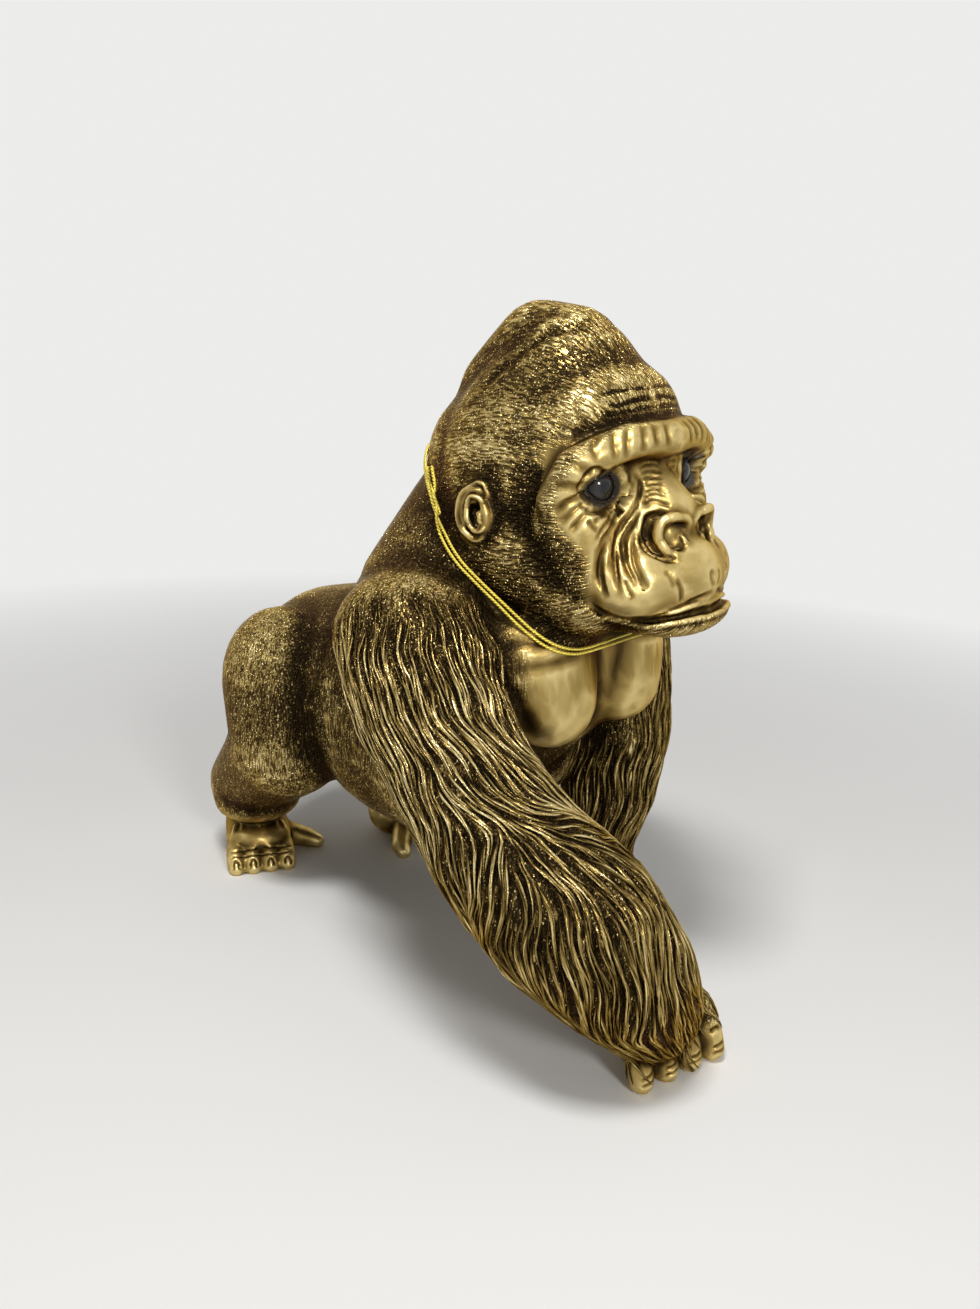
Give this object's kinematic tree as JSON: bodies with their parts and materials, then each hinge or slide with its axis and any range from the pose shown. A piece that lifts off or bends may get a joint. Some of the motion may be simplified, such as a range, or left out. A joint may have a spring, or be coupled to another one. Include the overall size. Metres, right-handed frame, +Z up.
{
  "type": "gorilla figurine",
  "caption": "Standing gorilla figurine in bronzed cast resin, walking on its knuckles, with shaggy arms, bare face and chest, glossy dark eyes and a gold tag thread round its neck",
  "frame": {"origin": "centre of the bounding box's bottom, on the plane that the hands and feet stand on", "axes": "-Y is the way that the gorilla faces, -X is its own right side and +Z is up"},
  "size_m": [0.1758, 0.2684, 0.2551],
  "materials": {
    "bronzed_resin": "antique gold and bronze paint on cast resin, dark brown in the hollows and bright on the ridges",
    "gloss_black_right": "glossy charcoal black",
    "gloss_black_left": "glossy charcoal black",
    "gold_thread": "bright metallic yellow-gold twisted thread"
  },
  "bodies": {
    "root": {"body_casting": "bronzed_resin", "eye_right": "gloss_black_right", "eye_left": "gloss_black_left", "tag_thread": "gold_thread"}
  },
  "joints": []
}
